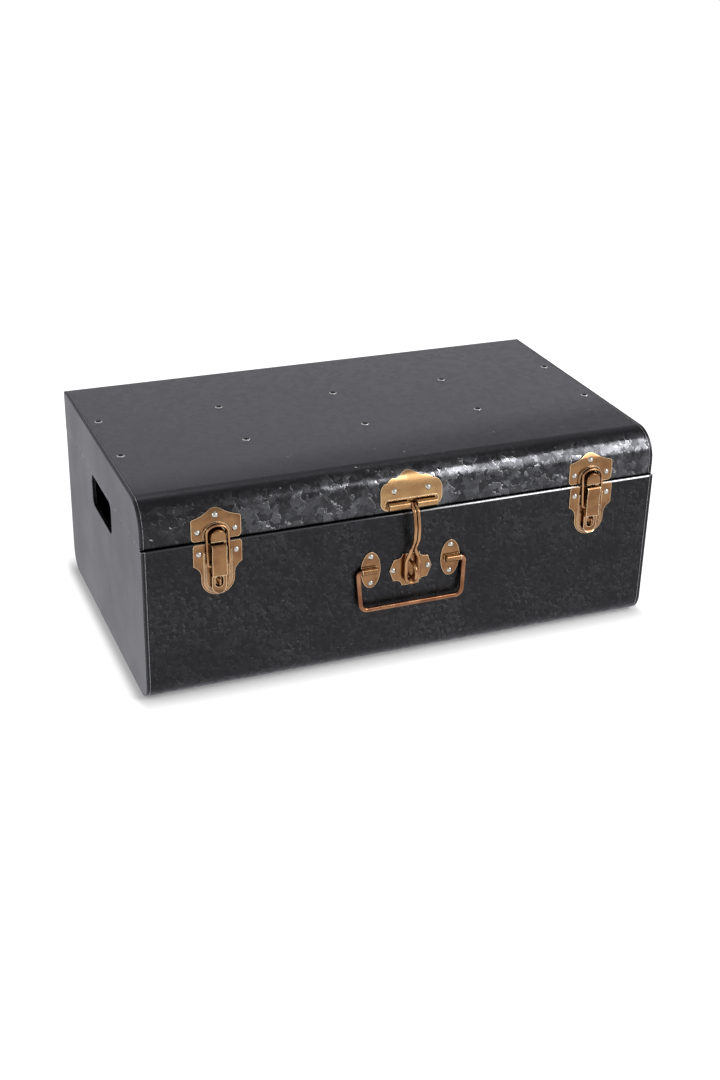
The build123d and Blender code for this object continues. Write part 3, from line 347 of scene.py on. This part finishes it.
def spangle_reflection_strength(finish):
    """How strong the spangle's painted reflection is: full low on the front, faint on the top
    and left.
    """
    fades = (LID_TOP - below for below in SPANGLE_FADES)
    low_down = finish.span(finish.axis(2), *fades, 1.0, 0.0)
    rightward = finish.span(finish.axis(0), *SPANGLE_FADES_X, SPANGLE_AT_LEFT, 1.0)
    return finish.math("MULTIPLY", low_down, rightward)


lid_finish, lid_colour = galvanised(
    "black_zinc_lid",
    (LID_TONE, LID_FLAKE_TONE, LID_HIGHLIGHT_AND_SPECK_TONE),
    LID_FLAKES_PER_METRE,
    LID_ROUGHNESS,
    tilted=0.055,
    show=spangle_reflection_strength,
)
# the top turns paler further back, along a slant
further_back = lid_finish.math(
    "MULTIPLY_ADD", lid_finish.axis(0), PALER_SLANT, lid_finish.axis(1)
)
paler_further_back = lid_finish.span(further_back, *(FRONT_FACE + back for back in PALER_FROM))
on_top = lid_finish.span(lid_finish.axis(2), *(LID_TOP - below for below in TOP_SKIN))
paler_further_back = lid_finish.math("MULTIPLY", paler_further_back, on_top)
lid_colour = lid_finish.blend(paler_further_back, lid_colour, LID_TOP_BACK_TONE)
long_scuffs = lid_finish.vector("MULTIPLY", lid_finish.place, (0.3, 1.0, 1.0))
scuff = lid_finish.flakes(SCUFFS_PER_METRE, long_scuffs, "Distance")
scuff = lid_finish.span(scuff, 0.02, 0.06, 0.8, 0.0)
scuffed_here = lid_finish.span(lid_finish.noise(9.0), 0.48, 0.6)
scuff = lid_finish.math("MULTIPLY", scuff, scuffed_here)
lid_colour = lid_finish.blend(scuff, lid_colour, LID_FLAKE_TONE)
lid_finish.set(Base_Color=lid_colour)
dress(lid_finish.material, "lid_wrapper")

# ---------------------------------------------------------------------------
# Two folded channels stiffen the lid from inside. Each is held by five domed
# rivets whose dark heads show on the top.
# ---------------------------------------------------------------------------
CHANNEL_TONE = (0.030, 0.030, 0.032)
LID_RIVET_TONE = (0.026, 0.026, 0.028)
LID_RIVET_RIM = (0.85, 0.85, 0.87)
LID_RIVET_FOOT = (0.0005, 0.0009)     # height of the bright rim round each head
STEEL_WORN = (0.2, 0.2, 0.2)
STEEL_WEAR_RADIUS = 0.0004


def dull_steel(name, tone, roughness, metallic):
    """Dark steel, cloudy and a little worn on its edges."""
    finish = Finish(name)
    cloud = finish.noise(240.0, detail=4.0)
    lighter = tuple(channel * 2.2 for channel in tone)
    colour = finish.blend(finish.span(cloud, 0.35, 0.8, 0.0, 0.7), tone, lighter)
    pale_edge = finish.math("MULTIPLY", finish.edge_mask(STEEL_WEAR_RADIUS), 0.6)
    colour = finish.blend(pale_edge, colour, STEEL_WORN)
    finish.set(
        Base_Color=colour,
        Metallic=metallic,
        Roughness=finish.span(cloud, 0.3, 0.7, roughness - 0.06, roughness + 0.06),
        Normal=finish.bump(finish.noise(1500.0), 0.08, 0.0003),
    )
    return finish, colour


channel_finish, _ = dull_steel("channel_steel", CHANNEL_TONE, 0.5, 0.3)
dress(channel_finish.material, "lid_stiffener_front", "lid_stiffener_back")
rivet_finish, rivet_colour = dull_steel("lid_rivet_steel", LID_RIVET_TONE, 0.26, 1.0)
foot_heights = (LID_TOP + height for height in LID_RIVET_FOOT)
rivet_foot = rivet_finish.span(rivet_finish.axis(2), *foot_heights, 1.0, 0.0)
rivet_colour = rivet_finish.blend(rivet_foot, rivet_colour, LID_RIVET_RIM)
rivet_finish.set(Base_Color=rivet_colour)
dress(rivet_finish.material, "lid_rivets_front", "lid_rivets_back")

# ---------------------------------------------------------------------------
# The draw latches, the hasp and the handle's ears. All are pressed from thin
# steel strip, plated in antique brass, lacquered, and rubbed bright on the edges,
# which also carry a painted highlight.
# ---------------------------------------------------------------------------
BRASS = (0.335, 0.182, 0.086)
BRASS_SHADE = (0.235, 0.113, 0.053)
BRASS_EDGE_WEAR_AND_HIGHLIGHT = (0.95, 0.74, 0.50)
BRASS_PATINA = (0.035, 0.016, 0.009)
BRASS_ROUGHNESS = (0.16, 0.26)
BRASS_EDGE_RADIUS = 0.0012
PATINA_REACH = 0.003
BRUSHING_PER_METRE = 2600.0


def antique_brass(name, tone, shade, roughness=BRASS_ROUGHNESS, edge_radius=BRASS_EDGE_RADIUS):
    """Plated steel: cloudy tone, fine brushing, dark in recesses, and pale on edges from
    rubbing and a painted highlight.
    """
    finish = Finish(name)
    cloud = finish.noise(55.0, detail=3.0, rough=0.55)
    spot = finish.noise(420.0, detail=2.0, rough=0.6)
    colour = finish.blend(finish.span(cloud, 0.38, 0.66), tone, shade)
    colour = finish.blend(finish.span(spot, 0.64, 0.8, 0.0, 0.35), colour, shade)
    patina = finish.math("MULTIPLY", finish.recess(PATINA_REACH), 0.9)
    colour = finish.blend(patina, colour, BRASS_PATINA)
    # edges: rubbed bright, with a painted highlight too
    pale_edge = finish.math("MULTIPLY", finish.edge_mask(edge_radius), 0.9)
    colour = finish.blend(pale_edge, colour, BRASS_EDGE_WEAR_AND_HIGHLIGHT)
    brush = finish.vector("MULTIPLY", finish.place, (1.0, 1.0, 0.12))
    grain = finish.noise(BRUSHING_PER_METRE, detail=2.0, at=brush)
    finish.set(
        Base_Color=colour,
        Metallic=1.0,
        Roughness=finish.span(cloud, 0.3, 0.7, *roughness),
        Normal=finish.bump(grain, 0.03, 0.0002),
    )
    return finish.material


brass_plate = antique_brass("antique_brass_plate", BRASS, BRASS_SHADE)
for side in ("left", "right"):
    dress(brass_plate, f"latch_strike_{side}", f"latch_plate_{side}")
    dress(brass_plate, f"latch_lever_{side}", f"handle_ear_{side}")
dress(brass_plate, "staple_plate")

# ---------------------------------------------------------------------------
# The hasp's plate is the same strip and plating, in a paler, yellower gold that is
# partly its own tone and partly a painted highlight. Its lower edge is rolled into
# the barrel that the link turns in.
# ---------------------------------------------------------------------------
# paler copy of the brass: its own tone and a painted highlight
HASP_LIT_GOLD = (0.47, 0.285, 0.135)
HASP_LIT_SHADE = (0.38, 0.215, 0.098)

dress(antique_brass("antique_brass_hasp", HASP_LIT_GOLD, HASP_LIT_SHADE), "hasp_plate")

# ---------------------------------------------------------------------------
# Bails, pins, padlock eyes, staple and the hasp's doubled link are bent from
# drawn wire with the same plating, a little brighter than the strip.
# ---------------------------------------------------------------------------
WIRE = (0.52, 0.30, 0.155)
WIRE_SHADE = (0.34, 0.172, 0.084)
WIRE_ROUGHNESS = (0.09, 0.15)
WIRE_EDGE_RADIUS = 0.0003

brass_wire = antique_brass(
    "antique_brass_wire", WIRE, WIRE_SHADE, WIRE_ROUGHNESS, WIRE_EDGE_RADIUS
)
dress(brass_wire, "latch_bail_left", "latch_bail_right", "latch_pins")
dress(brass_wire, "padlock_eyes", "staple", "hasp_link")

# ---------------------------------------------------------------------------
# The drop handle is one bent rod. Its plating has gone more coppery.
# ---------------------------------------------------------------------------
COPPER = (0.39, 0.195, 0.108)
COPPER_SHADE = (0.22, 0.095, 0.048)

coppery_rod = antique_brass(
    "coppery_rod", COPPER, COPPER_SHADE, WIRE_ROUGHNESS, WIRE_EDGE_RADIUS
)
dress(coppery_rod, "handle")

# ---------------------------------------------------------------------------
# Small bright nickel rivets hold all the brass pieces.
# ---------------------------------------------------------------------------
NICKEL = (0.62, 0.60, 0.56)
NICKEL_SHADE = (0.36, 0.34, 0.31)
NICKEL_ROUGHNESS = (0.06, 0.14)

nickel = Finish("nickel_rivets")
nickel_cloud = nickel.noise(900.0, detail=3.0)
nickel_dulling = nickel.span(nickel_cloud, 0.4, 0.75, 0.0, 0.8)
nickel.set(
    Base_Color=nickel.blend(nickel_dulling, NICKEL, NICKEL_SHADE),
    Metallic=1.0,
    Roughness=nickel.span(nickel_cloud, 0.3, 0.7, *NICKEL_ROUGHNESS),
    Normal=nickel.bump(nickel.noise(2500.0), 0.05, 0.0002),
)
dress(
    nickel.material,
    "latch_strike_rivets",
    "latch_plate_rivets",
    "hasp_rivets",
    "staple_rivets",
    "handle_ear_rivets",
    "hinge_body_rivets",
    "hinge_lid_rivets",
)

# ---------------------------------------------------------------------------
# Three butt hinges behind, of dark steel strip rolled round a steel pin.
# ---------------------------------------------------------------------------
HINGE_TONE = (0.055, 0.053, 0.050)

hinge_finish, _ = dull_steel("hinge_steel", HINGE_TONE, 0.36, 0.9)
for place in ("left", "middle", "right"):
    dress(hinge_finish.material, f"hinge_body_leaf_{place}", f"hinge_lid_leaf_{place}")
    dress(hinge_finish.material, f"hinge_pin_{place}")

# ---------------------------------------------------------------------------
# Where the trunk stands: a white table top that fades into a white room, one
# broad lamp in front on the right, a weaker one on the left, and a dim ceiling.
# ---------------------------------------------------------------------------
FLOOR_SIZE = 60.0
FLOOR_WHITE = 0.86
FLOOR_GLOW = (0.22, 0.80)         # close round the trunk, where it is lowered as a painted shadow, and further out
GLOW_FROM = (0.004, 0.050)
TRUNK_FOOT = (0.275, 0.138)       # half of the patch of floor that it covers
NARROWER_AT_ENDS = 3.4
CEILING_GREY = 0.58
CEILING_FROM = (0.35, 0.54)       # sine of the height where the walls turn dim
ROOM_LIGHT = 0.30

# the room: white to the eye, dim overhead in reflections, dimmer still as light
room = bpy.data.worlds.new("white_room")
room.use_nodes = True
bpy.context.scene.world = room
nodes, links = room.node_tree.nodes, room.node_tree.links
seen = nodes["Background"]
seen.inputs["Color"].default_value = (1, 1, 1, 1)
seen.inputs["Strength"].default_value = 1.0
light_path = nodes.new("ShaderNodeLightPath")
direction = nodes.new("ShaderNodeSeparateXYZ")
links.new(nodes.new("ShaderNodeTexCoord").outputs["Generated"], direction.inputs[0])
height = nodes.new("ShaderNodeMapRange")
height.interpolation_type = "SMOOTHSTEP"
links.new(direction.outputs["Z"], height.inputs["Value"])
for socket, value in zip(height.inputs[1:5], (*CEILING_FROM, 1.0, CEILING_GREY)):
    socket.default_value = value
reflected = nodes.new("ShaderNodeBackground")
links.new(height.outputs[0], reflected.inputs["Strength"])
lighting = nodes.new("ShaderNodeBackground")
lighting.inputs["Strength"].default_value = ROOM_LIGHT
glossy_mix = nodes.new("ShaderNodeMixShader")
links.new(light_path.outputs["Is Glossy Ray"], glossy_mix.inputs[0])
links.new(lighting.outputs[0], glossy_mix.inputs[1])
links.new(reflected.outputs[0], glossy_mix.inputs[2])
camera_mix = nodes.new("ShaderNodeMixShader")
links.new(light_path.outputs["Is Camera Ray"], camera_mix.inputs[0])
links.new(glossy_mix.outputs[0], camera_mix.inputs[1])
links.new(seen.outputs[0], camera_mix.inputs[2])
links.new(camera_mix.outputs[0], nodes["World Output"].inputs["Surface"])

# the table top: plain white, and it glows, less so close round the trunk: a painted shadow
# there
floor_mesh = bpy.data.meshes.new("table_top")
half = FLOOR_SIZE / 2
corners = [(-half, -half, 0), (half, -half, 0), (half, half, 0), (-half, half, 0)]
floor_mesh.from_pydata(corners, [], [(0, 1, 2, 3)])
floor = bpy.data.objects.new("table_top", floor_mesh)
bpy.context.scene.collection.objects.link(floor)
floor_finish = Finish("white_table_top")
white = (FLOOR_WHITE, FLOOR_WHITE, FLOOR_WHITE, 1.0)
floor_finish.set(Base_Color=white, Roughness=0.9, Specular_IOR_Level=0.0)
glow = floor_finish.add("ShaderNodeEmission")
paths = floor_finish.add("ShaderNodeLightPath").outputs
# painted shadow: the glow drops close round the trunk's footprint, less far out at its ends
beside = []
for index, foot in enumerate(TRUNK_FOOT):
    away = floor_finish.math("ABSOLUTE", floor_finish.axis(index))
    away = floor_finish.math("SUBTRACT", away, foot)
    beside.append(floor_finish.math("MAXIMUM", away, 0.0))
beside[0] = floor_finish.math("MULTIPLY", beside[0], NARROWER_AT_ENDS)
squares = [floor_finish.math("MULTIPLY", away, away) for away in beside]
away = floor_finish.math("SQRT", floor_finish.math("ADD", *squares))
glow_with_painted_shadow = floor_finish.span(away, *GLOW_FROM, *FLOOR_GLOW)
straight = floor_finish.math("MULTIPLY", paths["Is Camera Ray"], glow_with_painted_shadow)
mirrored = floor_finish.math(
    "MAXIMUM", paths["Is Glossy Ray"], paths["Is Transmission Ray"]
)
floor_finish.wire(floor_finish.math("ADD", straight, mirrored), glow.inputs["Strength"])
keep = floor_finish.math("SUBTRACT", 1.0, mirrored)
mix = floor_finish.add("ShaderNodeMixShader")
dark = floor_finish.add("ShaderNodeEmission")
dark.inputs["Strength"].default_value = 0.0
floor_finish.wire(keep, mix.inputs[0])
floor_finish.wire(dark.outputs[0], mix.inputs[1])
floor_finish.wire(floor_finish.shader.outputs[0], mix.inputs[2])
both = floor_finish.add("ShaderNodeAddShader")
floor_finish.wire(mix.outputs[0], both.inputs[0])
floor_finish.wire(glow.outputs[0], both.inputs[1])
surface = floor_finish.tree.nodes["Material Output"].inputs["Surface"]
floor_finish.wire(both.outputs[0], surface)
floor_mesh.materials.append(floor_finish.material)


def lamp(name, place, target, size, power):
    """A soft rectangular lamp of this width and height, facing a point."""
    light = bpy.data.lights.new(name, "AREA")
    light.shape = "RECTANGLE"
    light.size, light.size_y = size
    light.energy = power
    holder = bpy.data.objects.new(name, light)
    bpy.context.scene.collection.objects.link(holder)
    holder.location = place
    facing = Vector(target) - Vector(place)
    holder.rotation_euler = facing.to_track_quat("-Z", "Y").to_euler()


lamp("front_lamp", (1.55, -1.522, 1.76), target=(0.0, -0.15, 0.2), size=(1.3, 1.5), power=30.0)
lamp("left_lamp", (-2.6, 0.2, 1.2), target=(0, 0, 0.1), size=(1.4, 1.2), power=12.0)
lamp("back_lamp", (0.4, 1.7, 2.7), target=(0, 0, 0.2), size=(2.4, 0.8), power=8.0)

# ---------------------------------------------------------------------------
# The camera stands in front on the left, above the lid, and is a touch out of level.
# ---------------------------------------------------------------------------
CAMERA_PLACE = (-0.5821, -1.4394, 0.8282)
CAMERA_TURN = -22.38
CAMERA_DIP = 26.33
CAMERA_LEAN = 1.36
CAMERA_LENS = 52.39

camera = bpy.data.objects.new("camera", bpy.data.cameras.new("camera"))
bpy.context.scene.collection.objects.link(camera)
camera.data.lens = CAMERA_LENS
camera.data.sensor_width = 36.0
camera.matrix_world = (
    Matrix.Translation(CAMERA_PLACE)
    @ Matrix.Rotation(radians(CAMERA_TURN), 4, "Z")
    @ Matrix.Rotation(radians(90 - CAMERA_DIP), 4, "X")
    @ Matrix.Rotation(radians(CAMERA_LEAN), 4, "Z")
)
bpy.context.scene.camera = camera
bpy.context.scene.view_settings.view_transform = "Standard"
